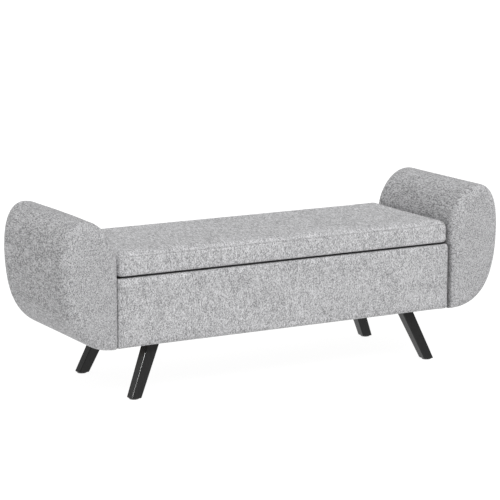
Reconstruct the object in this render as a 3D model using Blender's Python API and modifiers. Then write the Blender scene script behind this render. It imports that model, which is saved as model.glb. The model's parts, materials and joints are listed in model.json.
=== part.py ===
"""Upholstered storage bench with two rounded arms, a hinged lid on gas struts and four splayed legs.

Metres, +Z up. The origin is on the floor at the middle of the bench. X runs along the length,
the front faces -Y.
"""
import math

import bmesh
import bpy
from mathutils import Vector
from mathutils.geometry import interpolate_bezier

# ---------------------------------------------------------------- driving dimensions
GAP = 0.0003                # clearance between pieces that touch

BAY_LENGTH = 1.110          # between the inner faces of the two arms
BOX_DEPTH = 0.400           # over the front and back upholstery
BOX_BOTTOM = 0.1535         # underside of the box above the floor
BOX_TOP = 0.3535            # rim of the box
LID_BOTTOM = 0.3575         # underside of the closed lid
SEAT_TOP = 0.425            # top of the lid cushion
LID_END_GAP = 0.003         # between the lid and each arm

BOARD = 0.015               # plywood of the box walls and arm frames
FLOOR_BOARD = 0.012         # plywood of the box floor
LID_BOARD = 0.012           # plywood of the lid
BOX_PADDING = 0.015         # foam and fabric on the box front and back
CLOTH = 0.001               # liner and dust covers
PANEL_ROUNDING = 0.006
LINER_DROP = 0.003          # of the liner's rim under the box's rim
THROUGH = 0.010             # how far a cutter runs past what it cuts

ARM_BOTTOM = 0.152          # underside of the arms above the floor
ARM_DEPTH = 0.441
ARM_WIDTH = 0.170           # how far the arm stands out from its inner face
ARM_EDGE = 0.028            # rounding of the arm's front and back edges
ARM_SIDE_PADDING = 0.012
ARM_END_PADDING = 0.030
ARM_WIDEST = 0.243          # height of the widest point above the arm's underside
ARM_CREST_OUT = 0.105       # how far out the crest of the arm lies
ARM_HEIGHT = 0.375
ARM_INNER_TOP = 0.256       # where the flat inner face starts to curve outwards
ARM_PULL_BOTTOM = 0.115     # lengths of the outline's curve handles
ARM_PULL_BELOW_WIDEST = 0.165
ARM_PULL_ABOVE_WIDEST = 0.101
ARM_PULL_CREST_OUT = 0.030
ARM_PULL_CREST_IN = 0.065
ARM_PULL_INNER = 0.042
ARM_STEPS = 12              # straight steps along each curve of the outline
ARM_WINDOW_BOTTOM = 0.030   # opening in the padding that the inner board fills
ARM_WINDOW_TOP = 0.240
ARM_BOARD_PLAY = 0.001      # of the inner board inside the padding at its front and back
RAIL_THICK = 0.018
RAIL_WIDE = 0.040
TOP_RAIL_SHIFT = 0.008      # of the top rail's middle inwards from the crest
TOP_RAIL_DROP = 0.008       # of the top rail under the padding at the crest
OUTER_RAIL_DROP = 0.005     # of the outer rail inside the padding at the widest point

LEG_FOOT = Vector((0.494, 0.175))       # centre of the foot on the floor
LEG_LEAN = Vector((0.066, 0.024))       # how far in the top of the leg lies from its foot
LEG_TOP_SIDE = 0.038
LEG_FOOT_SIDE = 0.0325
LEG_ROUNDING = 0.003
PLATE_SIDE = 0.046          # of the steel plate between leg and box
PLATE_THICK = 0.002
BOLT_RADIUS = 0.004
BOLT_IN_LEG = 0.020
GLIDE_RADIUS = 0.014
GLIDE_HEIGHT = 0.002
GLIDE_ROUNDING = 0.0006

HINGE_X = 0.370             # distance of each hinge from the middle
HINGE_LENGTH = 0.060
HINGE_KNUCKLES = 5
HINGE_TAB_START = 0.005     # from the leaf's front edge
HINGE_LEAF_BACK = 0.002     # from the leaf's back edge to the barrel
KNUCKLE_RADIUS = 0.0035
KNUCKLE_GAP = 0.0004
PIN_RADIUS = 0.0016
PIN_BORE = 0.0019
LEAF_THICK = 0.0015
LEAF_CLEARANCE = 0.0002     # from each leaf to the plane through the hinge axis
AXIS_BEHIND_BOX = 0.004     # distance of the hinge axis behind the back upholstery

STRUT_X = 0.524             # distance of each strut from the middle
STRUT_ARM = 0.150           # from the hinge axis to either end of the strut
STRUT_LEAN = math.radians(22.0)         # of the lower end's arm from straight down
STRUT_DROP = 0.008          # height of the hinge axis over the strut's upper end
TUBE_RADIUS = 0.0075
TUBE_BORE = 0.005
TUBE_LENGTH = 0.151
TUBE_START = 0.0065         # from the lower pivot, clear of the head of its stud
TUBE_FLOOR = 0.012
ROD_RADIUS = 0.004
ROD_LENGTH = 0.148
ROD_START = 0.002           # from the upper pivot
EYE_RADIUS = 0.0065
EYE_WIDTH = 0.008
STUD_RADIUS = 0.003
STUD_BORE = 0.0033
STUD_HEAD_RADIUS = 0.005
STUD_HEAD_THICK = 0.0015
BRACKET_THICK = 0.002
LOWER_BRACKET_HALF_HEIGHT = 0.020
LOWER_BRACKET_FRONT = 0.009
LOWER_BRACKET_BACK = 0.008
UPPER_BRACKET_INSIDE = 0.007            # from the rod's eye to the angle
UPPER_BRACKET_WIDE = 0.018
UPPER_BRACKET_HALF_LENGTH = 0.015
UPPER_TAB_HALF_LENGTH = 0.008
UPPER_TAB_DROP = 0.006

BUMPER_X = 0.450
BUMPER_RADIUS = 0.005
BUMPER_ROUNDING = 0.0008

ARM_BOLT_RADIUS = 0.003
ARM_BOLT_HEAD = 0.0065
ARM_BOLT_HEAD_THICK = 0.004
ARM_BOLT_END = 0.022        # tip of the bolt inside the arm
ARM_BOLT_HOLE_END = 0.025
SOCKET_RADIUS = 0.0025
SOCKET_DEPTH = 0.002
ARM_BOLT_Y = 0.110
ARM_BOLT_Z = 0.200
HOLE_CLEARANCE = 0.0003

SIDES = (("left", -1), ("right", 1))
ENDS = (("front", -1), ("back", 1))

# ---------------------------------------------------------------- derived dimensions
HALF_BAY = BAY_LENGTH / 2
HALF_BOX = BOX_DEPTH / 2
WALL_OUT_Y = HALF_BOX - BOX_PADDING - GAP       # outer face of the front and back boards
WALL_IN_Y = WALL_OUT_Y - BOARD
END_OUT_X = HALF_BAY - GAP                      # outer face of the end boards
END_IN_X = END_OUT_X - BOARD
COVER_BOTTOM = BOX_BOTTOM + GAP
FLOOR_BOTTOM = COVER_BOTTOM + CLOTH + GAP
FLOOR_TOP = FLOOR_BOTTOM + FLOOR_BOARD
LINER_X = END_IN_X - GAP
LINER_Y = WALL_IN_Y - GAP
LINER_FACE_X = LINER_X - CLOTH                  # inner face of the liner's end walls
HALF_ARM = ARM_DEPTH / 2
LID_HALF_X = HALF_BAY - LID_END_GAP
LID_ROUNDING = 0.012
LID_SKIRT = LID_ROUNDING + 0.001                # width of the cushion's rim under the board
LID_COVER_X = END_IN_X - 0.004                  # the lid's dust cover drops inside the box walls
LID_COVER_Y = WALL_IN_Y - 0.002
AXIS_Y = HALF_BOX + AXIS_BEHIND_BOX
AXIS_Z = (BOX_TOP + LID_BOTTOM) / 2
LID_AXIS = Vector((0.0, AXIS_Y, AXIS_Z))
PLATE_TOP = BOX_BOTTOM
LEG_TOP = PLATE_TOP - PLATE_THICK - GAP


# ---------------------------------------------------------------- scene
for old in list(bpy.data.objects):
    bpy.data.objects.remove(old, do_unlink=True)

parts = bpy.data.collections.new("storage_bench")
cutters = bpy.data.collections.new("cutters")
bpy.context.scene.collection.children.link(parts)
bpy.context.scene.collection.children.link(cutters)


def material(name, colour, roughness, metallic=0.0):
    """A plain surface of one colour."""
    made = bpy.data.materials.new(name)
    made.use_nodes = True
    shader = made.node_tree.nodes["Principled BSDF"]
    shader.inputs["Base Color"].default_value = (*colour, 1.0)
    shader.inputs["Roughness"].default_value = roughness
    shader.inputs["Metallic"].default_value = metallic
    return made


LOOKS = {
    "fabric": ((0.50, 0.50, 0.51), 0.90, 0.0),
    "plywood": ((0.60, 0.44, 0.27), 0.60, 0.0),
    "black_wood": ((0.028, 0.028, 0.029), 0.42, 0.0),
    "zinc": ((0.55, 0.55, 0.57), 0.35, 1.0),
    "black_steel": ((0.03, 0.03, 0.03), 0.40, 0.6),
    "chrome": ((0.80, 0.80, 0.80), 0.12, 1.0),
    "black_cloth": ((0.03, 0.03, 0.03), 0.95, 0.0),
    "grey_cloth": ((0.16, 0.16, 0.17), 0.95, 0.0),
    "rubber": ((0.02, 0.02, 0.02), 0.80, 0.0),
    "plastic": ((0.05, 0.05, 0.05), 0.50, 0.0),
}


def new_object(name, mesh, look, where):
    """Link a mesh into one of the two collections."""
    made = bpy.data.objects.new(name, mesh)
    where.objects.link(made)
    if where is cutters:
        made.hide_render = True
        made.display_type = "WIRE"
    else:
        mesh.materials.append(material(name, *LOOKS[look]))
    return made


def block(name, low, high, look=None):
    """A box between two opposite corners; without a look it is a cutter."""
    low = Vector(low)
    high = Vector(high)
    shape = bmesh.new()
    bmesh.ops.create_cube(shape, size=1.0)
    bmesh.ops.scale(shape, vec=high - low, verts=shape.verts)
    mesh = bpy.data.meshes.new(name)
    shape.to_mesh(mesh)
    shape.free()
    made = new_object(name, mesh, look, parts if look else cutters)
    made.location = (low + high) / 2
    return made


def rod(name, start, end, radius, look=None, segments=24):
    """A cylinder between two points; without a look it is a cutter."""
    start = Vector(start)
    end = Vector(end)
    shape = bmesh.new()
    bmesh.ops.create_cone(shape, cap_ends=True, segments=segments, radius1=radius, radius2=radius,
                          depth=(end - start).length)
    mesh = bpy.data.meshes.new(name)
    shape.to_mesh(mesh)
    shape.free()
    mesh.shade_smooth()
    mesh.set_sharp_from_angle(angle=math.radians(40))
    made = new_object(name, mesh, look, parts if look else cutters)
    made.location = (start + end) / 2
    made.rotation_euler = (end - start).to_track_quat("Z", "Y").to_euler()
    return made


def combine(target, tool, operation):
    """Cut a tool out of a piece, or join it on."""
    step = target.modifiers.new(operation.lower(), "BOOLEAN")
    step.operation = operation
    step.object = tool
    step.solver = "EXACT"


def cut(target, tool):
    combine(target, tool, "DIFFERENCE")


def join(target, tool):
    combine(target, tool, "UNION")


def round_edges(target, width, segments):
    """Round every edge of a piece."""
    step = target.modifiers.new("rounding", "BEVEL")
    step.width = width
    step.segments = segments
    step.limit_method = "ANGLE"


def hang_on(target, axis):
    """Parent a piece to an empty without moving it."""
    target.parent = axis
    target.location = target.location - axis.matrix_world.translation


def axis_empty(name, place, parent=None):
    """An empty that marks a joint's axis."""
    made = bpy.data.objects.new(name, None)
    parts.objects.link(made)
    made.location = place
    if parent:
        made.parent = parent
        made.location = Vector(place) - parent.matrix_world.translation
    bpy.context.view_layer.update()
    return made


# ---------------------------------------------------------------- box
def box_boards():
    """Front, back, end and bottom boards with the bolt holes for the arms."""
    for end, way in ENDS:
        ys = sorted((way * WALL_OUT_Y, way * WALL_IN_Y))
        block(end + "_board", (-END_OUT_X, ys[0], COVER_BOTTOM), (END_OUT_X, ys[1], BOX_TOP), "plywood")
    for side, way in SIDES:
        xs = sorted((way * END_OUT_X, way * END_IN_X))
        reach = WALL_IN_Y - GAP
        board = block("end_board_" + side, (xs[0], -reach, COVER_BOTTOM), (xs[1], reach, BOX_TOP), "plywood")
        for end, along in ENDS:
            cut(board, bolt_hole(side, way, end, along))
    floor = block("bottom_board", (-END_IN_X + GAP, -WALL_IN_Y + GAP, FLOOR_BOTTOM),
                  (END_IN_X - GAP, WALL_IN_Y - GAP, FLOOR_TOP), "plywood")
    cover = block("bottom_dust_cover", (-END_IN_X + GAP, -WALL_IN_Y + GAP, COVER_BOTTOM),
                  (END_IN_X - GAP, WALL_IN_Y - GAP, COVER_BOTTOM + CLOTH), "black_cloth")
    return floor, cover


def bolt_hole(side, way, end, along):
    """The hole of one arm bolt, through liner, end board and arm board."""
    name = "arm_bolt_hole_" + end + "_" + side
    found = bpy.data.objects.get(name)
    if found:
        return found
    y = along * ARM_BOLT_Y
    start = way * (LINER_FACE_X - THROUGH / 2)
    return rod(name, (start, y, ARM_BOLT_Z), (way * (HALF_BAY + ARM_BOLT_HOLE_END), y, ARM_BOLT_Z),
               ARM_BOLT_RADIUS + HOLE_CLEARANCE)


def box_upholstery():
    """Padded panels over the front and back boards."""
    for end, way in ENDS:
        ys = sorted((way * HALF_BOX, way * (HALF_BOX - BOX_PADDING)))
        panel = block(end + "_upholstery", (-END_OUT_X, ys[0], BOX_BOTTOM), (END_OUT_X, ys[1], BOX_TOP), "fabric")
        round_edges(panel, PANEL_ROUNDING, 3)


def storage_liner():
    """Cloth tub lining the box."""
    tub = block("storage_liner", (-LINER_X, -LINER_Y, FLOOR_TOP + GAP), (LINER_X, LINER_Y, BOX_TOP - LINER_DROP),
                "grey_cloth")
    inside = block("liner_inside", (-LINER_X + CLOTH, -LINER_Y + CLOTH, FLOOR_TOP + GAP + CLOTH),
                   (LINER_X - CLOTH, LINER_Y - CLOTH, BOX_TOP + THROUGH))
    cut(tub, inside)
    for side, way in SIDES:
        for end, along in ENDS:
            cut(tub, bolt_hole(side, way, end, along))


def bumpers():
    """Rubber buttons on the front rim that the closed lid rests on."""
    y = -(WALL_OUT_Y + WALL_IN_Y) / 2
    for side, way in SIDES:
        button = rod("lid_bumper_" + side, (way * BUMPER_X, y, BOX_TOP + GAP), (way * BUMPER_X, y, LID_BOTTOM),
                     BUMPER_RADIUS, "rubber")
        round_edges(button, BUMPER_ROUNDING, 2)


# ---------------------------------------------------------------- lid
def lid(axis):
    """Cushion with the lid board let into its underside, and the dust cover."""
    cushion = block("lid_cushion", (-LID_HALF_X, -HALF_BOX, LID_BOTTOM), (LID_HALF_X, HALF_BOX, SEAT_TOP), "fabric")
    round_edges(cushion, LID_ROUNDING, 4)
    recess_x = LID_HALF_X - LID_SKIRT
    recess_y = HALF_BOX - LID_SKIRT
    recess_top = LID_BOTTOM + LID_BOARD + 2 * GAP
    cut(cushion, block("lid_recess", (-recess_x, -recess_y, LID_BOTTOM - THROUGH), (recess_x, recess_y, recess_top)))
    board = block("lid_board", (-recess_x + GAP, -recess_y + GAP, LID_BOTTOM + GAP),
                  (recess_x - GAP, recess_y - GAP, LID_BOTTOM + GAP + LID_BOARD), "plywood")
    cover = block("lid_dust_cover", (-LID_COVER_X, -LID_COVER_Y, LID_BOTTOM - CLOTH),
                  (LID_COVER_X, LID_COVER_Y, LID_BOTTOM), "grey_cloth")
    for piece in (cushion, board, cover):
        hang_on(piece, axis)


def knuckle(name, middle, index):
    """One barrel segment of a hinge, counted along X."""
    pitch = HINGE_LENGTH / HINGE_KNUCKLES
    left = middle - HINGE_LENGTH / 2 + index * pitch + KNUCKLE_GAP / 2
    right = left + pitch - KNUCKLE_GAP
    barrel = rod(name + "_barrel_" + str(index), (left, AXIS_Y, AXIS_Z), (right, AXIS_Y, AXIS_Z), KNUCKLE_RADIUS)
    return barrel, left, right


def hinge_leaf(name, middle, low, indices):
    """Flat leaf with its barrel segments; low is the leaf's underside."""
    front = WALL_IN_Y + CLOTH
    leaf = block(name, (middle - HINGE_LENGTH / 2, front, low),
                 (middle + HINGE_LENGTH / 2, AXIS_Y - KNUCKLE_RADIUS - HINGE_LEAF_BACK, low + LEAF_THICK), "zinc")
    for index in indices:
        barrel, left, right = knuckle(name, middle, index)
        tab = block(name + "_tab_" + str(index), (left, front + HINGE_TAB_START, low), (right, AXIS_Y, low + LEAF_THICK))
        join(leaf, tab)
        join(leaf, barrel)
    return leaf


def hinges(axis):
    """Two butt hinges behind the back upholstery, their leaves lying flat in the lid gap."""
    for side, way in SIDES:
        middle = way * HINGE_X
        low = AXIS_Z - LEAF_CLEARANCE - LEAF_THICK
        box_leaf = hinge_leaf("hinge_box_leaf_" + side, middle, low, (0, 2, 4))
        reach = HINGE_LENGTH / 2 - KNUCKLE_GAP / 2
        pin = rod("hinge_pin_" + side, (middle - reach, AXIS_Y, AXIS_Z), (middle + reach, AXIS_Y, AXIS_Z), PIN_RADIUS)
        join(box_leaf, pin)
        lid_leaf = hinge_leaf("hinge_lid_leaf_" + side, middle, AXIS_Z + LEAF_CLEARANCE, (1, 3))
        past = HINGE_LENGTH / 2 + THROUGH
        bore = rod("hinge_bore_" + side, (middle - past, AXIS_Y, AXIS_Z), (middle + past, AXIS_Y, AXIS_Z), PIN_BORE)
        cut(lid_leaf, bore)
        hang_on(lid_leaf, axis)


# ---------------------------------------------------------------- struts
def strut_ends(way):
    """Lower and upper pivot of one strut, both the same distance from the hinge axis."""
    x = way * STRUT_X
    lower = Vector((x, AXIS_Y - STRUT_ARM * math.sin(STRUT_LEAN), AXIS_Z - STRUT_ARM * math.cos(STRUT_LEAN)))
    forward = math.sqrt(STRUT_ARM ** 2 - STRUT_DROP ** 2)
    upper = Vector((x, AXIS_Y - forward, AXIS_Z - STRUT_DROP))
    return lower, upper


def eye(name, place, radius):
    """The round end of a strut that sits on a stud, with its bore."""
    reach = Vector((EYE_WIDTH / 2, 0, 0))
    ring = rod(name + "_eye", place - reach, place + reach, radius)
    bore = rod(name + "_eye_bore", place - 2 * reach, place + 2 * reach, STUD_BORE)
    return ring, bore


def strut(side, way, lid_empty):
    """A gas strut: a bored tube on the box and a rod on the lid, sliding one in the other."""
    lower, upper = strut_ends(way)
    along = (upper - lower).normalized()
    tube_axis = axis_empty("strut_tube_axis_" + side, lower)
    rod_axis = axis_empty("strut_rod_axis_" + side, upper, lid_empty)

    tube = rod("strut_tube_" + side, lower + along * TUBE_START, lower + along * TUBE_LENGTH, TUBE_RADIUS,
               "black_steel")
    ring, bore = eye("strut_tube_" + side, lower, TUBE_RADIUS)
    join(tube, ring)
    cut(tube, bore)
    inside_end = lower + along * (TUBE_LENGTH + THROUGH)
    cut(tube, rod("strut_tube_inside_" + side, lower + along * TUBE_FLOOR, inside_end, TUBE_BORE))
    hang_on(tube, tube_axis)

    piston = rod("strut_rod_" + side, upper - along * ROD_LENGTH, upper - along * ROD_START, ROD_RADIUS, "chrome")
    ring, bore = eye("strut_rod_" + side, upper, EYE_RADIUS)
    join(piston, ring)
    cut(piston, bore)
    hang_on(piston, rod_axis)

    lower_bracket(side, way, lower)
    hang_on(upper_bracket(side, way, upper), lid_empty)


def stud(name, way, place, root_x, tip_x):
    """A stud along X with a head on its tip, as two tools."""
    root = Vector((way * root_x, place.y, place.z))
    tip = Vector((way * tip_x, place.y, place.z))
    outwards = (tip - root).normalized()
    shank = rod(name + "_shank", root, tip, STUD_RADIUS)
    head = rod(name + "_head", tip - outwards * STUD_HEAD_THICK, tip, STUD_HEAD_RADIUS)
    return shank, head


def lower_bracket(side, way, place):
    """Plate on the box end with the stud for the tube."""
    name = "strut_lower_bracket_" + side
    face = LINER_FACE_X - GAP
    xs = sorted((way * face, way * (face - BRACKET_THICK)))
    tall = LOWER_BRACKET_HALF_HEIGHT
    plate = block(name, (xs[0], place.y - LOWER_BRACKET_FRONT, place.z - tall),
                  (xs[1], place.y + LOWER_BRACKET_BACK, place.z + tall), "zinc")
    tip = STRUT_X - EYE_WIDTH / 2 - 2 * GAP - STUD_HEAD_THICK
    for tool in stud(name, way, place, face - BRACKET_THICK / 2, tip):
        join(plate, tool)


def upper_bracket(side, way, place):
    """Angle under the lid with the stud for the rod."""
    name = "strut_upper_bracket_" + side
    top = LID_BOTTOM - CLOTH - GAP
    outer = STRUT_X - EYE_WIDTH / 2 - UPPER_BRACKET_INSIDE
    long = UPPER_BRACKET_HALF_LENGTH
    xs = sorted((way * outer, way * (outer - UPPER_BRACKET_WIDE)))
    plate = block(name, (xs[0], place.y - long, top - LEAF_THICK), (xs[1], place.y + long, top), "zinc")
    long = UPPER_TAB_HALF_LENGTH
    xs = sorted((way * outer, way * (outer - BRACKET_THICK)))
    tab = block(name + "_tab", (xs[0], place.y - long, place.z - UPPER_TAB_DROP),
                (xs[1], place.y + long, top - LEAF_THICK / 2))
    join(plate, tab)
    tip = STRUT_X + EYE_WIDTH / 2 + 2 * GAP + STUD_HEAD_THICK
    for tool in stud(name, way, place, outer - BRACKET_THICK / 2, tip):
        join(plate, tool)
    return plate


# ---------------------------------------------------------------- arms
def arm_points():
    """The arm's outline: out from the inner bottom corner, up the outer side and over the crest.

    The straight inner face is one edge, and no point lies closer to the bottom corner than the
    rounding of the arm's edges reaches.
    """
    knots = (
        ((0, 0), None, (ARM_PULL_BOTTOM, 0)),
        ((ARM_WIDTH, ARM_WIDEST), (ARM_WIDTH, ARM_WIDEST - ARM_PULL_BELOW_WIDEST),
         (ARM_WIDTH, ARM_WIDEST + ARM_PULL_ABOVE_WIDEST)),
        ((ARM_CREST_OUT, ARM_HEIGHT), (ARM_CREST_OUT + ARM_PULL_CREST_OUT, ARM_HEIGHT),
         (ARM_CREST_OUT - ARM_PULL_CREST_IN, ARM_HEIGHT)),
        ((0, ARM_INNER_TOP), (0, ARM_INNER_TOP + ARM_PULL_INNER), None),
    )
    points = [Vector((0, 0))]
    for (start, _, leave), (end, arrive, _) in zip(knots, knots[1:]):
        corners = [Vector(corner) for corner in (start, leave, arrive, end)]
        span = interpolate_bezier(*corners, ARM_STEPS + 1)
        points += [point.to_2d() for point in span[1:]]
    return [points[0]] + [point for point in points[1:] if point.length > ARM_EDGE * 1.2]


def arm_outline(name, way, inset, half_depth, edge):
    """The arm's outline in the XZ plane, moved in by inset and given thickness along Y."""
    curve = bpy.data.curves.new(name + "_outline", "CURVE")
    curve.dimensions = "2D"
    curve.fill_mode = "BOTH"
    curve.offset = -inset - edge
    curve.bevel_depth = edge
    curve.bevel_resolution = 3
    curve.extrude = half_depth - edge
    points = arm_points()
    spline = curve.splines.new("POLY")
    spline.points.add(len(points) - 1)
    spline.use_cyclic_u = True
    for drawn_point, point in zip(spline.points, points):
        drawn_point.co = (way * point.x, point.y, 0, 1)
    drawn = bpy.data.objects.new(name + "_outline", curve)
    cutters.objects.link(drawn)
    drawn.location = (way * HALF_BAY, 0, ARM_BOTTOM)
    drawn.rotation_euler = (math.radians(90), 0, 0)
    return drawn


def solid_from_curve(name, drawn, look=None):
    """Turn a drawn outline into a closed mesh object."""
    bpy.context.view_layer.update()
    depsgraph = bpy.context.evaluated_depsgraph_get()
    mesh = bpy.data.meshes.new_from_object(drawn.evaluated_get(depsgraph))
    mesh.name = name
    mesh.materials.clear()
    shape = bmesh.new()
    shape.from_mesh(mesh)
    bmesh.ops.remove_doubles(shape, verts=shape.verts, dist=0.00005)
    bmesh.ops.dissolve_limit(shape, angle_limit=0.002, verts=shape.verts, edges=shape.edges)
    bmesh.ops.recalc_face_normals(shape, faces=shape.faces)
    shape.to_mesh(mesh)
    shape.free()
    mesh.shade_smooth()
    mesh.set_sharp_from_angle(angle=math.radians(40))
    made = new_object(name, mesh, look, parts if look else cutters)
    made.matrix_world = drawn.matrix_world.copy()
    bpy.data.objects.remove(drawn)
    return made


def arm_block(name, way, ins, outs, half_depth, low, high, look=None):
    """A block in an arm, from ins to outs along X and from low to high above the arm's underside."""
    xs = sorted((way * (HALF_BAY + ins), way * (HALF_BAY + outs)))
    return block(name, (xs[0], -half_depth, ARM_BOTTOM + low), (xs[1], half_depth, ARM_BOTTOM + high), look)


def arm(side, way):
    """Plywood frame and the padded cover around it, bolted to the end of the box."""
    cover = solid_from_curve("arm_upholstery_" + side,
                             arm_outline("arm_" + side, way, 0.0, HALF_ARM, ARM_EDGE), "fabric")
    hollow_depth = HALF_ARM - ARM_END_PADDING
    hollow = solid_from_curve("arm_hollow_" + side,
                              arm_outline("arm_hollow_" + side, way, ARM_SIDE_PADDING, hollow_depth, 0.0))
    window_depth = hollow_depth - ARM_BOARD_PLAY
    window = arm_block("arm_window_" + side, way, -THROUGH, BOARD + THROUGH / 2, window_depth,
                       ARM_WINDOW_BOTTOM, ARM_WINDOW_TOP)
    cut(cover, hollow)
    cut(cover, window)

    inner_board = arm_block("arm_inner_board_" + side, way, GAP, GAP + BOARD, window_depth - GAP,
                            ARM_WINDOW_BOTTOM + GAP, ARM_WINDOW_TOP - GAP, "plywood")
    for end, along in ENDS:
        cut(inner_board, bolt_hole(side, way, end, along))

    behind_board = arm_block("arm_rib_trim_" + side, way, -THROUGH, BOARD + 2 * GAP, HALF_ARM, -THROUGH, ARM_HEIGHT)
    rib_outer = hollow_depth - GAP
    for end, along in ENDS:
        rib = solid_from_curve("arm_" + end + "_rib_" + side,
                               arm_outline("arm_rib_" + side, way, ARM_SIDE_PADDING + GAP, BOARD / 2, 0.0),
                               "plywood")
        rib.location.y = along * (rib_outer - BOARD / 2)
        cut(rib, behind_board)
    rail_reach = rib_outer - BOARD - GAP
    crest = ARM_HEIGHT - ARM_SIDE_PADDING - TOP_RAIL_DROP
    middle = ARM_CREST_OUT - TOP_RAIL_SHIFT
    arm_block("arm_top_rail_" + side, way, middle - RAIL_WIDE / 2, middle + RAIL_WIDE / 2,
              rail_reach, crest - RAIL_THICK, crest, "plywood")
    widest = ARM_WIDTH - ARM_SIDE_PADDING - OUTER_RAIL_DROP
    arm_block("arm_outer_rail_" + side, way, widest - RAIL_THICK, widest,
              rail_reach, ARM_WIDEST - RAIL_WIDE / 2, ARM_WIDEST + RAIL_WIDE / 2, "plywood")
    for end, along in ENDS:
        arm_bolt(side, way, end, along)


def arm_bolt(side, way, end, along):
    """Bolt from inside the box through the end board into the arm."""
    y = along * ARM_BOLT_Y
    head_x = LINER_FACE_X - GAP
    bolt = rod("arm_bolt_" + end + "_" + side, (way * (head_x - ARM_BOLT_HEAD_THICK), y, ARM_BOLT_Z),
               (way * head_x, y, ARM_BOLT_Z), ARM_BOLT_HEAD, "zinc")
    inside_head = way * (head_x - ARM_BOLT_HEAD_THICK + SOCKET_DEPTH)
    shank = rod("arm_bolt_shank_" + end + "_" + side, (inside_head, y, ARM_BOLT_Z),
                (way * (HALF_BAY + ARM_BOLT_END), y, ARM_BOLT_Z), ARM_BOLT_RADIUS)
    socket = rod("arm_bolt_socket_" + end + "_" + side, (way * (head_x - THROUGH), y, ARM_BOLT_Z),
                 (inside_head, y, ARM_BOLT_Z), SOCKET_RADIUS, segments=6)
    join(bolt, shank)
    cut(bolt, socket)


# ---------------------------------------------------------------- legs
def leg(end, along, side, way, floor, cover):
    """Splayed tapered leg with its plate, hanger bolt and glide."""
    name = end + "_" + side
    out = Vector((way, along))
    foot = Vector((out.x * LEG_FOOT.x, out.y * LEG_FOOT.y))
    top = Vector((out.x * (LEG_FOOT.x - LEG_LEAN.x), out.y * (LEG_FOOT.y - LEG_LEAN.y)))
    foot_z = GLIDE_HEIGHT + GAP

    shape = bmesh.new()
    bmesh.ops.create_cube(shape, size=2.0)
    for corner in shape.verts:
        upper = corner.co.z > 0
        middle = top if upper else foot
        half = (LEG_TOP_SIDE if upper else LEG_FOOT_SIDE) / 2
        corner.co.x = middle.x - top.x + half * corner.co.x
        corner.co.y = middle.y - top.y + half * corner.co.y
        corner.co.z = 0 if upper else foot_z - LEG_TOP
    mesh = bpy.data.meshes.new("leg_" + name)
    shape.to_mesh(mesh)
    shape.free()
    post = new_object("leg_" + name, mesh, "black_wood", parts)
    post.location = (top.x, top.y, LEG_TOP)
    round_edges(post, LEG_ROUNDING, 3)

    bolt_low = LEG_TOP - BOLT_IN_LEG
    bolt_high = FLOOR_TOP - CLOTH
    hole = rod("leg_bolt_hole_" + name, (top.x, top.y, bolt_low - GAP), (top.x, top.y, FLOOR_TOP + THROUGH),
               BOLT_RADIUS + HOLE_CLEARANCE)
    rod("leg_hanger_bolt_" + name, (top.x, top.y, bolt_low), (top.x, top.y, bolt_high), BOLT_RADIUS, "zinc")
    half = PLATE_SIDE / 2
    plate = block("leg_plate_" + name, (top.x - half, top.y - half, PLATE_TOP - PLATE_THICK),
                  (top.x + half, top.y + half, PLATE_TOP), "black_steel")
    for piece in (post, plate, floor, cover):
        cut(piece, hole)
    glide = rod("leg_glide_" + name, (foot.x, foot.y, 0), (foot.x, foot.y, GLIDE_HEIGHT), GLIDE_RADIUS, "plastic")
    round_edges(glide, GLIDE_ROUNDING, 2)


# ---------------------------------------------------------------- assembly
lid_axis = axis_empty("lid_axis", LID_AXIS)
bottom, bottom_cover = box_boards()
box_upholstery()
storage_liner()
bumpers()
lid(lid_axis)
hinges(lid_axis)
for side_name, side_way in SIDES:
    strut(side_name, side_way, lid_axis)
    arm(side_name, side_way)
    for end_name, end_way in ENDS:
        leg(end_name, end_way, side_name, side_way, bottom, bottom_cover)
bpy.context.view_layer.update()
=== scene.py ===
import json
import math

import bmesh
import bpy
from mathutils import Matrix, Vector
from mathutils.geometry import interpolate_bezier


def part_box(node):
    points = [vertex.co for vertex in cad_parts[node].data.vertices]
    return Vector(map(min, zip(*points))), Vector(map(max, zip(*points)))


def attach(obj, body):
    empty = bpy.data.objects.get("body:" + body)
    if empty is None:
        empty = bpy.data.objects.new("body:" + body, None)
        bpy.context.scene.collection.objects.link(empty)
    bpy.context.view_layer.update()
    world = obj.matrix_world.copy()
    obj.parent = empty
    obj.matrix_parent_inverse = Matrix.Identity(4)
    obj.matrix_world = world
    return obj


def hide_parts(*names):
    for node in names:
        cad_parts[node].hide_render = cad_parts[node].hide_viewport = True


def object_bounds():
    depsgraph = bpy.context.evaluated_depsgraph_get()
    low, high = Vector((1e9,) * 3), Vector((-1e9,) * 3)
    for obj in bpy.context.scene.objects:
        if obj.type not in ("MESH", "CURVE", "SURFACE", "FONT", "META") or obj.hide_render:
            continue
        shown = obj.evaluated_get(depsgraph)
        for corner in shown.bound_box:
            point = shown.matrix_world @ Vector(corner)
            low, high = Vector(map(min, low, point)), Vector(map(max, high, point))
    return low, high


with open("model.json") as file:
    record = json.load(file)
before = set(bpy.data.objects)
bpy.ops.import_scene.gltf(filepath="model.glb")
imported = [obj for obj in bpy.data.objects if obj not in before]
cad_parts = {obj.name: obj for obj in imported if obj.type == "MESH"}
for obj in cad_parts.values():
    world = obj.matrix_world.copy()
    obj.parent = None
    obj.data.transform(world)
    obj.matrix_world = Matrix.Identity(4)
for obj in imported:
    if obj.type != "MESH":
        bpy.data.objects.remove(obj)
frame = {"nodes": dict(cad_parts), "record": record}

CAD_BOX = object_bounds()
NODES = frame["nodes"]
NODES_SLOT = {part["node"]: part["material_slot"] for part in frame["record"]["subparts"]}


# ================================================================ node helpers
MIX_COLOUR_A = 6            # sockets of a Mix node that carry colours
MIX_COLOUR_B = 7
MIX_COLOUR = 2


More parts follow.
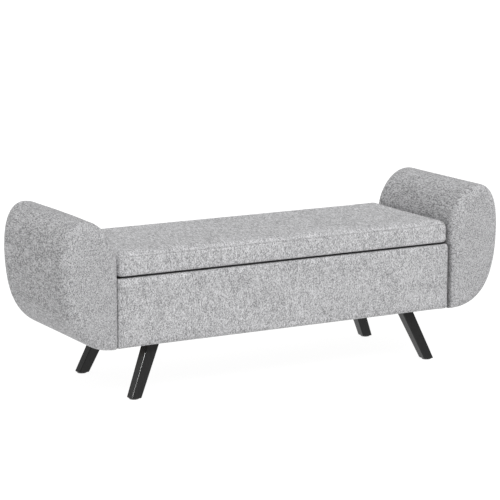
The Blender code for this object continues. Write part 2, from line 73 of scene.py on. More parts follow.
class Graph:
    """Short hand for building one material's nodes."""

    def __init__(self, name):
        self.material = bpy.data.materials.new(name)
        self.material.use_nodes = True
        self.nodes = self.material.node_tree.nodes
        self.links = self.material.node_tree.links
        self.shader = self.nodes["Principled BSDF"]

    def plug(self, value, socket):
        if isinstance(value, bpy.types.NodeSocket):
            self.links.new(value, socket)
        else:
            socket.default_value = value

    def node(self, kind, inputs=None, **settings):
        made = self.nodes.new(kind)
        for key, value in settings.items():
            setattr(made, key, value)
        for key, value in (inputs or {}).items():
            self.plug(value, made.inputs[key])
        return made

    def coords(self, scale=(1, 1, 1)):
        place = self.node("ShaderNodeTexCoord").outputs["Object"]
        return self.node("ShaderNodeMapping", {"Vector": place, "Scale": scale}).outputs["Vector"]

    def noise(self, vector, scale, detail=2.0, rough=0.5, distortion=0.0):
        return self.node("ShaderNodeTexNoise", {"Vector": vector, "Scale": scale, "Detail": detail,
                                                "Roughness": rough, "Distortion": distortion}).outputs["Fac"]

    def math(self, what, a, b=0.0):
        made = self.node("ShaderNodeMath", operation=what)
        for value, socket in zip((a, b), made.inputs):
            self.plug(value, socket)
        return made.outputs[0]

    def spread(self, value, low, high, to_low=0.0, to_high=1.0):
        return self.node("ShaderNodeMapRange", {"Value": value, "From Min": low, "From Max": high,
                                                "To Min": to_low, "To Max": to_high}).outputs["Result"]

    def mix(self, factor, a, b):
        made = self.node("ShaderNodeMix", data_type="RGBA")
        self.plug(factor, made.inputs["Factor"])
        self.plug(a, made.inputs[MIX_COLOUR_A])
        self.plug(b, made.inputs[MIX_COLOUR_B])
        return made.outputs[MIX_COLOUR]

    def bump(self, height, strength, distance, normal=None):
        inputs = {"Height": height, "Strength": strength, "Distance": distance}
        if normal is not None:
            inputs["Normal"] = normal
        return self.node("ShaderNodeBump", inputs).outputs["Normal"]

    def set(self, **values):
        for key, value in values.items():
            self.plug(value, self.shader.inputs[key.replace("_", " ")])


COOL = (1.0, 0.998, 1.018)  # faint blue cast of the fabric
WEAVE_PITCH = 0.0016
YARN_STRETCH = (1.0, 0.24, 0.55)
YARN_SCALE = 450.0
YARN_SHARE = 0.50
SLUB_STRETCH = (1.0, 0.13, 0.28)
SLUB_SCALE = 210.0
SLUB_SHARE = 0.13
FLECK_STRETCH = (1.0, 0.42, 0.9)
FLECK_SCALE = 640.0
FLECK_SHARE = 0.37
CLOUD_SCALE = 22.0
CLOUD_DRIFT = 0.055
TONE_LOW = 0.424            # noise heights that give the darkest and the lightest yarn
TONE_HIGH = 0.576
SEAM_WIDTH = 0.0036
STITCH_PITCH = 0.0055
SEAM_BELOW_TOP = 0.0120     # of the lid's sewn line under the top of the cushion
# painted shade along the joint of arm and box: its strength, where it ends at the top, and its widths
PAINTED_SHADE_STRENGTH = 0.55
PAINTED_SHADE_FADE = 0.003           # height over which the painted shade ends at the top
ARM_PAINTED_SHADE = 0.0062           # width of the painted shade on the arms and on the box panels
BOX_PAINTED_SHADE = 0.0055


def grey(value, tint=(1.0, 1.0, 1.0)):
    return (value * tint[0], value * tint[1], value * tint[2], 1.0)


# ================================================================ materials
def weave_height(graph, pitch):
    """Over-and-under threads: on any face two of the three waves run, which makes a plain weave."""
    turns = 2 * math.pi / pitch
    parts = graph.node("ShaderNodeSeparateXYZ", {"Vector": graph.coords()})
    waves = [graph.math("SINE", graph.math("MULTIPLY", parts.outputs[axis], turns)) for axis in "XYZ"]
    return graph.math("ADD", graph.math("ADD", waves[0], waves[1]), waves[2])


def heather(name, light, dark, seam=None, joint_shade=None):
    """Light grey linen-look upholstery: heathered yarn, slubs along the cloth, soft mottling.

    A seam is the height of a sewn line around the piece: a shallow groove, darkened as painted shade, with
    stitches in it.
    The joint shade is painted shade along the joint of arm and box, where the cover is pulled in:
    how far it lies from the middle of the bench, how wide the painted shade is, and up to which height it
    goes.
    """
    graph = Graph(name)
    yarn = graph.noise(graph.coords(scale=YARN_STRETCH), YARN_SCALE, 2.0, 0.6, 0.1)
    slub = graph.noise(graph.coords(scale=SLUB_STRETCH), SLUB_SCALE, 2.0, 0.6, 0.2)
    fleck = graph.noise(graph.coords(scale=FLECK_STRETCH), FLECK_SCALE, 2.0, 0.6, 0.1)
    cloud = graph.noise(graph.coords(), CLOUD_SCALE, 3.0, 0.55, 0.3)
    yarn_part = graph.math("MULTIPLY", yarn, YARN_SHARE)
    mixed = graph.math("ADD", yarn_part, graph.math("MULTIPLY", fleck, FLECK_SHARE))
    mixed = graph.math("ADD", mixed, graph.math("MULTIPLY", slub, SLUB_SHARE))
    drift = graph.math("MULTIPLY", graph.math("SUBTRACT", cloud, 0.5), CLOUD_DRIFT)
    tone = graph.spread(graph.math("ADD", mixed, drift), TONE_LOW, TONE_HIGH)
    colour = graph.mix(tone, grey(dark, COOL), grey(light, COOL))
    weave = weave_height(graph, WEAVE_PITCH)
    # painted shade: the fabric is darkened in the hollows of the weave
    colour = graph.mix(graph.spread(weave, -2.0, 2.0, 0.12, 0.0), colour, grey(dark * 0.5))
    if joint_shade is not None:
        # painted shade: the fabric is darkened along the joint of arm and box
        colour = graph.mix(painted_joint_shade(graph, *joint_shade), colour, grey(dark * 0.3))
    rough = graph.spread(yarn, 0.3, 0.7, 0.97, 0.86)
    normal = graph.bump(weave, 0.35, 0.0004)
    normal = graph.bump(mixed, 0.45, 0.0012, normal)
    if seam is not None:
        groove, stitches = sewn_line(graph, seam)
        # painted shade: the sewn groove is darkened
        colour = graph.mix(graph.math("MULTIPLY", groove, 0.30), colour, grey(dark * 0.5))
        colour = graph.mix(graph.math("MULTIPLY", stitches, 0.6), colour, grey(light))
        raised = graph.math("SUBTRACT", stitches, graph.math("MULTIPLY", groove, 2.0))
        normal = graph.bump(raised, 0.5, 0.0008, normal)
    graph.set(Base_Color=colour, Roughness=rough, Normal=normal)
    graph.shader.inputs["Sheen Weight"].default_value = 0.12
    graph.shader.inputs["Sheen Roughness"].default_value = 0.5
    graph.shader.inputs["Specular IOR Level"].default_value = 0.2
    return graph.material


def painted_joint_shade(graph, joint, reach, top):
    """Mask of painted shade along the joint of arm and box, where a cover is pulled in."""
    place = graph.node("ShaderNodeSeparateXYZ", {"Vector": graph.coords()})
    out = graph.math("ABSOLUTE", place.outputs["X"])
    off = graph.math("ABSOLUTE", graph.math("SUBTRACT", out, joint))
    beside = graph.spread(off, reach * 0.25, reach, PAINTED_SHADE_STRENGTH, 0.0)
    below = graph.spread(place.outputs["Z"], top - PAINTED_SHADE_FADE, top, 1.0, 0.0)
    return graph.math("MULTIPLY", beside, below)


def sewn_line(graph, height):
    """Masks of a level sewn groove and of the stitches lying in it."""
    place = graph.node("ShaderNodeSeparateXYZ", {"Vector": graph.coords()})
    off = graph.math("ABSOLUTE", graph.math("SUBTRACT", place.outputs["Z"], height))
    groove = graph.spread(off, 0.0006, SEAM_WIDTH / 2, 1.0, 0.0)
    along = graph.math("ADD", place.outputs["X"], place.outputs["Y"])
    wave = graph.math("SINE", graph.math("MULTIPLY", along, 2 * math.pi / STITCH_PITCH))
    thread = graph.spread(off, 0.0003, 0.0006, 1.0, 0.0)
    return groove, graph.math("MULTIPLY", thread, graph.spread(wave, 0.0, 0.4))


def cloth(name, tone, pitch, slub=0.25):
    """Thin plain cloth for the liner and the dust covers."""
    graph = Graph(name)
    weave = weave_height(graph, pitch)
    fibres = graph.noise(graph.coords(), 420.0, 3.0, 0.6, 0.5)
    cloud = graph.noise(graph.coords(), 14.0, 2.0, 0.5)
    tones = graph.math("ADD", graph.math("MULTIPLY", fibres, 0.7), graph.math("MULTIPLY", cloud, 0.3))
    colour = graph.mix(graph.spread(tones, 0.3, 0.7), grey(tone * (1 - slub)), grey(tone * (1 + slub)))
    # painted shade: the cloth is darkened in the hollows of the weave
    shaded = graph.mix(graph.spread(weave, -2.0, 2.0, 0.3, 0.0), colour, grey(tone * 0.4))
    normal = graph.bump(weave, 0.4, 0.0003)
    normal = graph.bump(fibres, 0.3, 0.0006, normal)
    graph.set(Base_Color=shaded, Roughness=graph.spread(fibres, 0.3, 0.7, 0.98, 0.85), Normal=normal)
    return graph.material


def plywood(name):
    """Birch plywood: pale figured grain along the board and darker pores."""
    graph = Graph(name)
    along = graph.coords(scale=(1.0, 9.0, 9.0))
    grain = graph.noise(along, 14.0, 6.0, 0.62, 1.4)
    pores = graph.noise(graph.coords(scale=(1.0, 30.0, 30.0)), 30.0, 2.0, 0.7)
    colour = graph.mix(graph.spread(grain, 0.32, 0.68), (0.38, 0.25, 0.13, 1), (0.66, 0.50, 0.32, 1))
    colour = graph.mix(graph.spread(pores, 0.55, 0.75, 0.0, 0.35), colour, (0.20, 0.12, 0.06, 1))
    normal = graph.bump(pores, 0.25, 0.0004)
    graph.set(Base_Color=colour, Roughness=graph.spread(grain, 0.3, 0.7, 0.72, 0.55), Normal=normal)
    return graph.material


def lacquered_wood(name):
    """Black satin lacquer over wood: faint grain, slightly greyer worn edges."""
    graph = Graph(name)
    along = graph.coords(scale=(9.0, 9.0, 1.0))
    grain = graph.noise(along, 22.0, 5.0, 0.6, 0.8)
    speck = graph.noise(graph.coords(), 700.0, 2.0, 0.6)
    colour = graph.mix(graph.spread(grain, 0.35, 0.65), grey(0.008), grey(0.013))
    edge = graph.node("ShaderNodeNewGeometry").outputs["Pointiness"]
    worn = graph.math("MULTIPLY", graph.spread(edge, 0.53, 0.60), graph.spread(speck, 0.4, 0.6))
    colour = graph.mix(graph.math("MULTIPLY", worn, 0.5), colour, grey(0.045))
    normal = graph.bump(grain, 0.015, 0.0004)
    normal = graph.bump(speck, 0.006, 0.0001, normal)
    graph.set(Base_Color=colour, Roughness=graph.spread(speck, 0.3, 0.7, 0.22, 0.27), Normal=normal)
    graph.shader.inputs["Specular IOR Level"].default_value = 0.24
    return graph.material


def metal(name, dull, bright, rough_low, rough_high, metallic, stretch=(1.0, 1.0, 1.0), scale=260.0):
    """Metal or coated metal with a drawn, cast or powder-coated texture."""
    graph = Graph(name)
    texture = graph.noise(graph.coords(scale=stretch), scale, 4.0, 0.6)
    smear = graph.noise(graph.coords(), 30.0, 3.0, 0.6)
    graph.set(Base_Color=graph.mix(graph.spread(smear, 0.35, 0.65), dull, bright),
              Roughness=graph.spread(texture, 0.3, 0.7, rough_low, rough_high),
              Normal=graph.bump(texture, 0.3, 0.00015))
    graph.shader.inputs["Metallic"].default_value = metallic
    return graph.material


def moulded(name, tone, rough_low, rough_high):
    """Moulded rubber or plastic with a fine grain."""
    graph = Graph(name)
    grain = graph.noise(graph.coords(), 900.0, 3.0, 0.6)
    smear = graph.noise(graph.coords(), 60.0, 2.0, 0.5)
    graph.set(Base_Color=graph.mix(graph.spread(smear, 0.3, 0.7), grey(tone * 0.7), grey(tone * 1.4)),
              Roughness=graph.spread(grain, 0.3, 0.7, rough_low, rough_high),
              Normal=graph.bump(grain, 0.3, 0.0002))
    return graph.material


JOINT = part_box("arm_upholstery_right")[0].x
BOX_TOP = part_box("front_upholstery")[1].z
OVER_BOX = BOX_TOP + 0.01   # the painted shade on the box panels goes all the way up
# one fabric in three copies whose tones differ with how light falls: painted shade makes the arms' copy
# darker and painted light makes the lid's copy lighter than the box's
BOX_FABRIC = heather("heather_fabric_box", 0.675, 0.200, joint_shade=(JOINT, BOX_PAINTED_SHADE, OVER_BOX))
ARM_FABRIC_PAINTED_DARKER = heather("heather_fabric_arms_painted_shade", 0.615, 0.194, joint_shade=(JOINT, ARM_PAINTED_SHADE, BOX_TOP))
LID_FABRIC_PAINTED_LIGHTER = heather("heather_fabric_lid_painted_light", 0.70, 0.220, seam=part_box("lid_cushion")[1].z - SEAM_BELOW_TOP)
LINER = cloth("liner_cloth", 0.15, 0.0014)
UNDER = cloth("dust_cloth", 0.028, 0.0020)
WOOD = plywood("birch_plywood")
LEG = lacquered_wood("black_lacquer")
ZINC = metal("zinc_steel", grey(0.42), grey(0.62), 0.28, 0.48, 1.0)
COATED = metal("black_powder_coat", grey(0.018), grey(0.034), 0.45, 0.62, 0.0, scale=900.0)
STRUT = metal("strut_black", grey(0.012), grey(0.026), 0.25, 0.40, 0.2, scale=500.0)
CHROME = metal("polished_rod", grey(0.62), grey(0.80), 0.06, 0.16, 1.0, stretch=(1.0, 1.0, 0.05), scale=400.0)
RUBBER = moulded("bumper_rubber", 0.020, 0.65, 0.85)
PLASTIC = moulded("glide_plastic", 0.035, 0.40, 0.60)

LOOKS = (
    ("leg_glide", PLASTIC), ("leg_plate", COATED), ("leg_hanger", ZINC), ("leg_", LEG), ("arm_bolt", ZINC),
    ("hinge", ZINC), ("strut_tube", STRUT), ("strut_rod", CHROME), ("strut_", ZINC), ("lid_bumper", RUBBER),
    ("storage_liner", LINER), ("lid_dust_cover", LINER), ("bottom_dust_cover", UNDER),
)
SOFT = ("arm_upholstery_left", "arm_upholstery_right", "front_upholstery", "back_upholstery", "lid_cushion")


def dress_cad():
    """Give each CAD node its finished material."""
    for name, node in NODES.items():
        if name in SOFT:
            continue
        look = next((made for start, made in LOOKS if name.startswith(start)), WOOD)
        node.data.materials.clear()
        node.data.materials.append(look)


# ================================================================ shapes
CLOTH_PRESSURE = 4.0
CLOTH_FRAMES = 20
TINY_SHIFT = 1e-9
ROUNDING_SEGMENTS = 5
NEAR = 0.001                # an edge this close to a face lies on it


def link(name, mesh):
    made = bpy.data.objects.new(name, mesh)
    bpy.context.scene.collection.objects.link(made)
    return made


def evaluated_mesh(source):
    """The mesh an object shows, with its modifiers and its place baked in."""
    bpy.context.view_layer.update()
    graph = bpy.context.evaluated_depsgraph_get()
    mesh = bpy.data.meshes.new_from_object(source.evaluated_get(graph))
    mesh.transform(source.matrix_world)
    return mesh


def settle(source):
    """Replace an object's mesh by what it shows, and drop its modifiers."""
    mesh = evaluated_mesh(source)
    source.modifiers.clear()
    source.data = mesh
    source.matrix_world.identity()


def remesh(source, size):
    step = source.modifiers.new("remesh", "REMESH")
    step.mode = "VOXEL"
    step.voxel_size = size
    step.adaptivity = 0.0
    settle(source)


def smooth_out(source, factor, times):
    step = source.modifiers.new("smooth", "SMOOTH")
    step.factor = factor
    step.iterations = times
    settle(source)


def inflate(source, held, cap):
    """Blow a padded cover up with a short cloth simulation; held says how firmly a point is fixed."""
    mesh = source.data
    start = [vertex.co.copy() for vertex in mesh.vertices]
    group = source.vertex_groups.new(name="held")
    for vertex in mesh.vertices:
        group.add([vertex.index], held(vertex.co), "REPLACE")
    step = source.modifiers.new("cloth", "CLOTH")
    cover = step.settings
    cover.quality = 3
    cover.mass = 0.3
    cover.tension_stiffness = 25.0
    cover.compression_stiffness = 25.0
    cover.shear_stiffness = 12.0
    cover.bending_stiffness = 4.0
    cover.use_pressure = True
    cover.uniform_pressure_force = CLOTH_PRESSURE
    cover.vertex_group_mass = "held"
    cover.effector_weights.gravity = 0.0
    step.collision_settings.use_collision = False
    scene = bpy.context.scene
    for number in range(1, CLOTH_FRAMES + 1):
        scene.frame_set(number)
    blown = evaluated_mesh(source)
    moved = [vertex.co.copy() for vertex in blown.vertices]
    source.modifiers.clear()
    scene.frame_set(1)
    for vertex, before, after in zip(mesh.vertices, start, moved):
        shift = after - before
        if shift.length > TINY_SHIFT:
            shift *= cap * math.tanh(shift.length / cap) / shift.length
        vertex.co = before + shift
    source.vertex_groups.clear()


def fit_to(source, low, high):
    """Stretch a mesh a little so that it fills a box exactly."""
    points = [vertex.co for vertex in source.data.vertices]
    least = Vector([min(point[i] for point in points) for i in range(3)])
    most = Vector([max(point[i] for point in points) for i in range(3)])
    for vertex in source.data.vertices:
        for i in range(3):
            share = (vertex.co[i] - least[i]) / (most[i] - least[i])
            vertex.co[i] = low[i] + share * (high[i] - low[i])


def finish_soft(source, node, body, fabric):
    """Fine surface, material and ride of a padded piece."""
    step = source.modifiers.new("fine", "SUBSURF")
    step.levels = 1
    step.render_levels = 1
    source.data.materials.clear()
    source.data.materials.append(fabric)
    source.data.shade_smooth()
    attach(source, body)
    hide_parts(node)


def rounded_block(name, low, high, rounding):
    """A box whose edges are rounded by a width that depends on where the middle of the edge is."""
    low = Vector(low)
    high = Vector(high)
    shape = bmesh.new()
    bmesh.ops.create_cube(shape, size=1.0)
    bmesh.ops.scale(shape, vec=high - low, verts=shape.verts)
    bmesh.ops.translate(shape, vec=(low + high) / 2, verts=shape.verts)
    mesh = bpy.data.meshes.new(name)
    shape.to_mesh(mesh)
    shape.free()
    made = link(name, mesh)
    weights = mesh.attributes.new("bevel_weight_edge", "FLOAT", "EDGE")
    widths = [rounding(edge_mid(mesh, edge)) for edge in mesh.edges]
    widest = max(widths)
    for edge, width in zip(mesh.edges, widths):
        weights.data[edge.index].value = width / widest
    step = made.modifiers.new("rounding", "BEVEL")
    step.limit_method = "WEIGHT"
    step.width = widest
    step.segments = ROUNDING_SEGMENTS
    settle(made)
    return made


def edge_mid(mesh, edge):
    ends = [mesh.vertices[index].co for index in edge.vertices]
    return (ends[0] + ends[1]) / 2


# ================================================================ arms
EDGE = 0.028                # rounding of an arm's front and back edges
STEPS = 24
WELD = 0.00005
ARM_SHRINK = 0.0012         # of the arm as drawn, before it is fitted and blown up
ARM_VOXEL = 0.0055
ARM_SWELL = 0.0010          # the furthest that the padding moves
ARM_HELD = 0.004            # depth of the firm layer against the box


def arm_outline(width, height, shrink):
    """The arm's outline, outwards along x and up along y, from its inner bottom corner."""
    widest = 0.648 * height
    crest = 0.6176 * width
    flat_top = 0.6827 * height
    knots = (
        ((0, 0), None, (0.6765 * width, 0)),
        ((width, widest), (width, widest - 0.44 * height), (width, widest + 0.2693 * height)),
        ((crest, height), (crest + 0.1765 * width, height), (crest - 0.3824 * width, height)),
        ((0, flat_top), (0, flat_top + 0.112 * height), None),
    )
    points = [Vector((0, 0))]
    for (start, _, leave), (end, arrive, _) in zip(knots, knots[1:]):
        corners = [Vector(corner) for corner in (start, leave, arrive, end)]
        points += [point.to_2d() for point in interpolate_bezier(*corners, STEPS + 1)[1:]]
    return [points[0]] + [point for point in points[1:] if point.length > (EDGE + shrink) * 1.15]


def arm_shape(side, way, low, high):
    """The arm's outline, filled and drawn out to its depth, with full rounded front and back edges."""
    width, depth, height = high - low
    curve = bpy.data.curves.new("padded_arm_" + side, "CURVE")
    curve.dimensions = "2D"
    curve.fill_mode = "BOTH"
    curve.offset = -EDGE - ARM_SHRINK
    curve.bevel_depth = EDGE
    curve.bevel_resolution = 6
    curve.extrude = depth / 2 - EDGE - ARM_SHRINK
    points = arm_outline(width, height, ARM_SHRINK)
    spline = curve.splines.new("POLY")
    spline.points.add(len(points) - 1)
    spline.use_cyclic_u = True
    for drawn, point in zip(spline.points, points):
        drawn.co = (way * point.x, point.y, 0, 1)
    drawing = link("arm_drawing_" + side, curve)
    drawing.location = (low.x if way > 0 else high.x, (low.y + high.y) / 2, low.z)
    drawing.rotation_euler = (math.radians(90), 0, 0)
    padding = link("padded_arm_" + side, evaluated_mesh(drawing))
    bpy.data.objects.remove(drawing)
    shape = bmesh.new()
    shape.from_mesh(padding.data)
    bmesh.ops.remove_doubles(shape, verts=shape.verts, dist=WELD)
    bmesh.ops.recalc_face_normals(shape, faces=shape.faces)
    shape.to_mesh(padding.data)
    shape.free()
    return padding


def arm(side, way):
    """Padded arm, blown up a little over its frame."""
    node = "arm_upholstery_" + side
    low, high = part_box(node)
    inner = low.x if way > 0 else high.x
    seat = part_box("lid_cushion")[1].z
    padding = arm_shape(side, way, low, high)
    remesh(padding, ARM_VOXEL)
    smooth_out(padding, 0.5, 3)

    def held(point):
        """Firm where the arm lies against the box, free elsewhere."""
        return 1.0 if abs(point.x - inner) < ARM_HELD and point.z < seat else 0.0

    fit_to(padding, low, high)
    inflate(padding, held, ARM_SWELL)
    finish_soft(padding, node, "box", ARM_FABRIC_PAINTED_DARKER)


# ================================================================ box and lid covers
PANEL_VOXEL = 0.005
PANEL_SWELL = 0.0010
PANEL_FREE = 0.009          # depth of the padding that is free to swell
PANEL_TOP_CORNER = 0.013    # roundings: the four corners of the face
PANEL_BOTTOM_CORNER = 0.008
PANEL_UPRIGHT = 0.006       # the upright outer edges
PANEL_LONG = 0.010          # the long outer edges
PANEL_INNER = 0.001
LID_VOXEL = 0.006
LID_SWELL = 0.0016
LID_HELD = 0.004            # depth of the firm layer around the lid board
LID_TOP_END = 0.026         # roundings: edges at the ends, and along the front and the back
LID_TOP_LONG = 0.017
LID_BOTTOM_END = 0.013
LID_BOTTOM_LONG = 0.009
LID_UPRIGHT = 0.018


def panel(node, way):
    """Padded panel over the front or back board."""
    low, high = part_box(node)
    middle = (low + high) / 2
    outer = low.y if way < 0 else high.y

    def rounding(place):
        outside = abs(place.y - outer) < NEAR
        if abs(place.y - middle.y) < NEAR:
            return PANEL_TOP_CORNER if abs(place.z - high.z) < NEAR else PANEL_BOTTOM_CORNER
        if outside and abs(place.z - middle.z) < NEAR:
            return PANEL_UPRIGHT
        return PANEL_LONG if outside else PANEL_INNER

    cover = rounded_block("padded_" + node, low, high, rounding)
    remesh(cover, PANEL_VOXEL)
    smooth_out(cover, 0.5, 2)

    def held(point):
        return 1.0 if abs(point.y - outer) > PANEL_FREE else 0.0

    fit_to(cover, low, high)
    inflate(cover, held, PANEL_SWELL)
    finish_soft(cover, node, "box", BOX_FABRIC)


def lid_cushion():
    """Boxed lid cushion: crowned top, band around the sides, seam between them."""
    node = "lid_cushion"
    low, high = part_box(node)
    middle = (low + high) / 2

    def rounding(place):
        at_end = abs(place.x - middle.x) > NEAR
        if abs(place.z - high.z) < NEAR:
            return LID_TOP_END if at_end else LID_TOP_LONG
        if abs(place.z - low.z) < NEAR:
            return LID_BOTTOM_END if at_end else LID_BOTTOM_LONG
        return LID_UPRIGHT

    cover = rounded_block("padded_lid", low, high, rounding)
    remesh(cover, LID_VOXEL)
    smooth_out(cover, 0.5, 2)

    def held(point):
        return 1.0 if point.z < low.z + LID_HELD else 0.0

    fit_to(cover, low, high)
    inflate(cover, held, LID_SWELL)
    finish_soft(cover, node, "lid", LID_FABRIC_PAINTED_LIGHTER)


# ================================================================ small pieces
RIM_LIFT = 0.00005          # of the hem over the rim
RIM_CLOTH = 0.00018
RIM_CLEAR = 0.001           # from the hem to a hinge leaf
RIM_DROP = 0.025            # of the hem down the outer faces of the front and back boards
LEAF_THICK = 0.0015         # of the hinge leaves and upper brackets
LEAF_SCREW_IN = 0.0035      # from the front edge of a leaf
LEAF_SCREW_PLACES = (0.16, 0.5, 0.84)
LEAF_SCREW_RADIUS = 0.0026
LEAF_SCREW_PROUD = 0.00014
BRACKET_THICK = 0.002
BRACKET_SCREW_RADIUS = 0.0030
BRACKET_SCREW_PROUD = 0.0010
LOWER_SCREW_IN = 0.0055     # from a lower bracket's top and bottom edges
UPPER_SCREW_IN = 0.0065     # from an upper bracket's front and back edges
UPPER_SCREW_OUT = 0.008     # from its inner edge
SCREW_SIDES = 16
SCREW_PROFILE = ((0.0, 0.35), (0.28, 0.35), (0.34, 1.0), (0.72, 0.86), (1.0, 0.0), (0.0, -0.4))
SHARP_ANGLE = 35


def add_piece(name, shape, look, body, slot):
    """Make a piece from a bmesh, with its material and its body. The slot argument is not used."""
    mesh = bpy.data.meshes.new(name)
    bmesh.ops.recalc_face_normals(shape, faces=shape.faces)
    shape.to_mesh(mesh)
    shape.free()
    mesh.shade_smooth()
    mesh.set_sharp_from_angle(angle=math.radians(SHARP_ANGLE))
    mesh.materials.append(look)
    made = link(name, mesh)
    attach(made, body)
    return made


def ribbon(shape, low, high):
    """Add a thin closed strip between two corners."""
    made = bmesh.ops.create_cube(shape, size=1.0)["verts"]
    bmesh.ops.scale(shape, vec=high - low, verts=made)
    bmesh.ops.translate(shape, vec=(low + high) / 2, verts=made)


def gap_shade_liner_hem():
    """The liner's hem, folded over the rim of the box and down its outer faces; its dark cloth also stands in
    for the shade in the gap under the lid.
    """
    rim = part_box("front_board")[1].z
    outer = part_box("back_board")[1].y
    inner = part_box("storage_liner")[1].y
    end_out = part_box("end_board_right")[1].x
    end_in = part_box("storage_liner")[1].x
    hinge_low, hinge_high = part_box("hinge_box_leaf_right")
    past_hinge = hinge_high.x + RIM_CLEAR
    short_of_hinge = hinge_low.x - RIM_CLEAR
    bottom = rim + RIM_LIFT
    top = bottom + RIM_CLOTH
    spans = (
        (-end_out, end_out, -1),
        (-end_out, -past_hinge, 1),
        (past_hinge, end_out, 1),
        (-short_of_hinge, short_of_hinge, 1),
    )
    shape = bmesh.new()
    for left, right, way in spans:
        near, far = sorted((way * inner, way * (outer + RIM_LIFT + RIM_CLOTH)))
        ribbon(shape, Vector((left, near, bottom)), Vector((right, far, top)))
        near, far = sorted((way * (outer + RIM_LIFT), way * (outer + RIM_LIFT + RIM_CLOTH)))
        ribbon(shape, Vector((left, near, rim - RIM_DROP)), Vector((right, far, bottom)))
    for way in (-1, 1):
        near, far = sorted((way * end_out, way * end_in))
        ribbon(shape, Vector((near, -inner, bottom)), Vector((far, inner, top)))
    add_piece("gap_shade_liner_hem", shape, LINER, "box", NODES_SLOT["storage_liner"])


def screw(shape, place, facing, radius, proud):
    """A low screw head with a socket, turned about the direction it faces."""
    turn = facing.to_track_quat("Z", "Y")
    rings = []
    for out, up in SCREW_PROFILE:
        count = 1 if out == 0.0 else SCREW_SIDES
        ring = []
        for index in range(count):
            angle = 2 * math.pi * index / SCREW_SIDES
            local = Vector((radius * out * math.cos(angle), radius * out * math.sin(angle), proud * up))
            ring.append(shape.verts.new(place + turn @ local))
        rings.append(ring)
    for first, second in zip(rings, rings[1:]):
        for index in range(SCREW_SIDES):
            after = (index + 1) % SCREW_SIDES
            corners = [first[index % len(first)], first[after % len(first)],
                       second[after % len(second)], second[index % len(second)]]
            shape.faces.new(list(dict.fromkeys(corners)))


def leaf_screws(node, body, facing):
    """Flush screw heads along a hinge leaf."""
    low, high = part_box(node)
    face = low.z if facing < 0 else low.z + LEAF_THICK
    shape = bmesh.new()
    for share in LEAF_SCREW_PLACES:
        place = Vector((low.x + share * (high.x - low.x), low.y + LEAF_SCREW_IN, face))
        screw(shape, place, Vector((0, 0, facing)), LEAF_SCREW_RADIUS, LEAF_SCREW_PROUD)
    add_piece("screws_" + node, shape, ZINC, body, NODES_SLOT[node])


def lower_bracket_screws(node, way):
    """Screw heads that hold a strut's lower bracket to the end board."""
    low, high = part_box(node)
    face = high.x - BRACKET_THICK if way > 0 else low.x + BRACKET_THICK
    shape = bmesh.new()
    for height in (low.z + LOWER_SCREW_IN, high.z - LOWER_SCREW_IN):
        place = Vector((face, (low.y + high.y) / 2, height))
        screw(shape, place, Vector((-way, 0, 0)), BRACKET_SCREW_RADIUS, BRACKET_SCREW_PROUD)
    add_piece("screws_" + node, shape, ZINC, "box", NODES_SLOT[node])


def upper_bracket_screws(node, way):
    """Screw heads that hold a strut's upper bracket to the lid board."""
    low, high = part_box(node)
    inner = low.x if way > 0 else high.x
    shape = bmesh.new()
    for depth in (low.y + UPPER_SCREW_IN, high.y - UPPER_SCREW_IN):
        place = Vector((inner + way * UPPER_SCREW_OUT, depth, high.z - LEAF_THICK))
        screw(shape, place, Vector((0, 0, -1)), BRACKET_SCREW_RADIUS, BRACKET_SCREW_PROUD)
    add_piece("screws_" + node, shape, ZINC, "lid", NODES_SLOT[node])


def screws():
    """Screw heads of the hinge leaves and the strut brackets."""
    for side, way in (("left", -1), ("right", 1)):
        leaf_screws("hinge_box_leaf_" + side, "box", 1)
        leaf_screws("hinge_lid_leaf_" + side, "lid", -1)
        lower_bracket_screws("strut_lower_bracket_" + side, way)
        upper_bracket_screws("strut_upper_bracket_" + side, way)


# ================================================================ stage
FLOOR_SIZE = 60.0
FLOOR_DROP = 0.0005         # of the floor under the feet
FLOOR_TONE = 0.14
FLOOR_GLOW = 0.96
SKY = 0.44
KEY_POWER = 2.5
KEY_ANGLE = 45
KEY_FROM = (-0.07, -0.51, 0.86)
EDGE_POWER = 480.0
EDGE_SIZE = 0.20
EDGE_AIM = (0.021, 0.007, 0.048)    # from the low corner of the leg's box
EDGE_FROM = (-0.72, -0.43, 0.54)
EDGE_AWAY = 4.0
VIEW_AZIMUTH = -29.10
VIEW_ELEVATION = 10.835
VIEW_LENS = 158.49
VIEW_SENSOR = 36.0
VIEW_FAR = 200.0
VIEW_TARGET = (-0.0218, 0.0, 0.3543)
VIEW_DISTANCE = 6.528


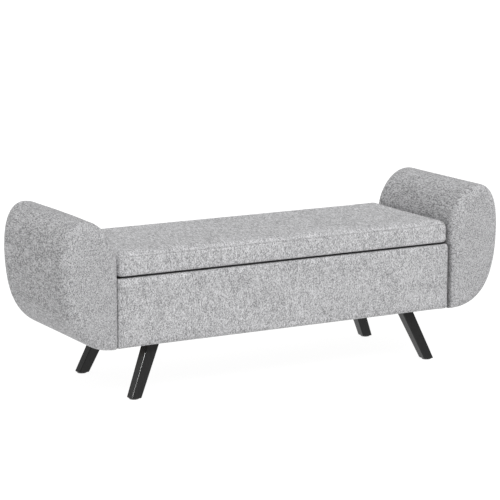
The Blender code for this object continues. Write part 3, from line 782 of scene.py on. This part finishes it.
def stage():
    """Pale floor, even sky and one soft light from the front, the left and above."""
    floor_shape = bmesh.new()
    bmesh.ops.create_grid(floor_shape, x_segments=1, y_segments=1, size=FLOOR_SIZE)
    mesh = bpy.data.meshes.new("studio_floor")
    floor_shape.to_mesh(mesh)
    floor_shape.free()
    floor = link("studio_floor", mesh)
    floor.location.z = CAD_BOX[0].z - FLOOR_DROP
    graph = Graph("studio_floor")
    graph.set(Base_Color=grey(FLOOR_TONE), Roughness=0.9)
    graph.shader.inputs["Specular IOR Level"].default_value = 0.0
    graph.shader.inputs["Emission Color"].default_value = grey(1.0)
    graph.shader.inputs["Emission Strength"].default_value = FLOOR_GLOW
    mesh.materials.append(graph.material)

    world = bpy.data.worlds.new("studio")
    bpy.context.scene.world = world
    world.use_nodes = True
    sky = world.node_tree.nodes["Background"]
    sky.inputs["Color"].default_value = grey(1.0)
    sky.inputs["Strength"].default_value = SKY

    lamp = bpy.data.lights.new("key", "SUN")
    lamp.energy = KEY_POWER
    lamp.angle = math.radians(KEY_ANGLE)
    key = link("key", lamp)
    key.rotation_euler = Vector(KEY_FROM).to_track_quat("Z", "Y").to_euler()
    edge_light()
    bpy.context.scene.view_settings.view_transform = "Standard"


def edge_light():
    """Small lamp for the front left leg alone, which draws a thin glint down its nearest edge."""
    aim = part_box("leg_front_left")[0] + Vector(EDGE_AIM)
    lamp = bpy.data.lights.new("edge", "POINT")
    lamp.energy = EDGE_POWER
    lamp.shadow_soft_size = EDGE_SIZE
    glint = link("edge", lamp)
    glint.location = aim + Vector(EDGE_FROM) * EDGE_AWAY
    lit = bpy.data.collections.new("lit_by_edge_light")
    lit.objects.link(NODES["leg_front_left"])
    glint.light_linking.receiver_collection = lit


def camera():
    """Long lens from the front left, a little above the seat."""
    azimuth = math.radians(VIEW_AZIMUTH)
    elevation = math.radians(VIEW_ELEVATION)
    across = math.cos(elevation)
    away = Vector((math.sin(azimuth) * across, -math.cos(azimuth) * across, math.sin(elevation)))
    eye = bpy.data.cameras.new("camera")
    eye.lens = VIEW_LENS
    eye.sensor_width = VIEW_SENSOR
    eye.clip_end = VIEW_FAR
    made = link("camera", eye)
    made.location = Vector(VIEW_TARGET) + away * VIEW_DISTANCE
    made.rotation_euler = away.to_track_quat("Z", "Y").to_euler()
    bpy.context.scene.camera = made


# ================================================================ making
camera()
stage()
dress_cad()
arm("left", -1)
arm("right", 1)
panel("front_upholstery", -1)
panel("back_upholstery", 1)
lid_cushion()
gap_shade_liner_hem()
screws()
